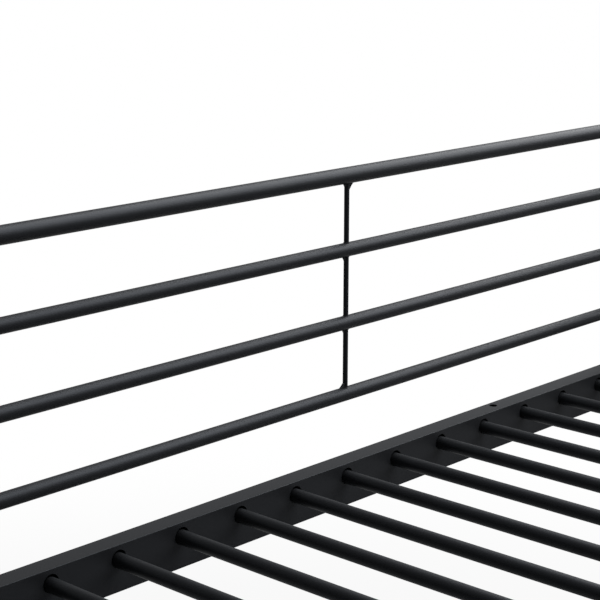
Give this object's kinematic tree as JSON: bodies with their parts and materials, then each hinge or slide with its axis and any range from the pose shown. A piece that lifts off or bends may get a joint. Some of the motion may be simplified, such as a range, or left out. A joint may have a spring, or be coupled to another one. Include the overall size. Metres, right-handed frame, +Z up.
{
  "type": "bunk bed",
  "caption": "Metal bunk bed: two slatted decks between welded end frames, with tubular guards round the upper deck and a ladder at the front.",
  "frame": {"origin": "centre of the bed's outer box at floor level", "axes": "+X along the bed's length, +Y from the ladder side to the back guard, +Z up"},
  "size_m": [2.124, 1.0694, 1.686],
  "materials": {
    "frame_steel": "satin black powder coat",
    "black_plastic": "moulded, matte",
    "bolt_steel": "black oxide",
    "zinc_steel": "zinc plated"
  },
  "bodies": {
    "root": {"lower_back_rail": "frame_steel", "lower_front_rail": "frame_steel", "upper_back_rail": "frame_steel", "upper_front_rail": "frame_steel", "lower_left_end": "frame_steel", "lower_right_end": "frame_steel", "upper_left_end": "frame_steel", "upper_right_end": "frame_steel", "back_guard": "frame_steel", "front_guard": "frame_steel", "ladder": "frame_steel", "post_joiners": "frame_steel", "lower_slat_01": "frame_steel", "lower_slat_02": "frame_steel", "lower_slat_03": "frame_steel", "lower_slat_04": "frame_steel", "lower_slat_05": "frame_steel", "lower_slat_06": "frame_steel", "lower_slat_07": "frame_steel", "lower_slat_08": "frame_steel", "lower_slat_09": "frame_steel", "lower_slat_10": "frame_steel", "lower_slat_11": "frame_steel", "lower_slat_12": "frame_steel", "lower_slat_13": "frame_steel", "lower_slat_14": "frame_steel", "lower_slat_15": "frame_steel", "lower_slat_16": "frame_steel", "lower_slat_17": "frame_steel", "lower_slat_18": "frame_steel", "lower_slat_19": "frame_steel", "upper_slat_01": "frame_steel", "upper_slat_02": "frame_steel", "upper_slat_03": "frame_steel", "upper_slat_04": "frame_steel", "upper_slat_05": "frame_steel", "upper_slat_06": "frame_steel", "upper_slat_07": "frame_steel", "upper_slat_08": "frame_steel", "upper_slat_09": "frame_steel", "upper_slat_10": "frame_steel", "upper_slat_11": "frame_steel", "upper_slat_12": "frame_steel", "upper_slat_13": "frame_steel", "upper_slat_14": "frame_steel", "upper_slat_15": "frame_steel", "upper_slat_16": "frame_steel", "upper_slat_17": "frame_steel", "upper_slat_18": "frame_steel", "upper_slat_19": "frame_steel", "post_feet": "black_plastic", "post_caps": "black_plastic", "ladder_feet": "black_plastic", "ladder_caps": "black_plastic", "guard_bolts": "bolt_steel", "guard_leg_bolt": "bolt_steel", "ladder_bolts": "bolt_steel", "guard_nuts": "zinc_steel", "guard_leg_nut": "zinc_steel", "ladder_nuts": "zinc_steel"}
  },
  "joints": []
}
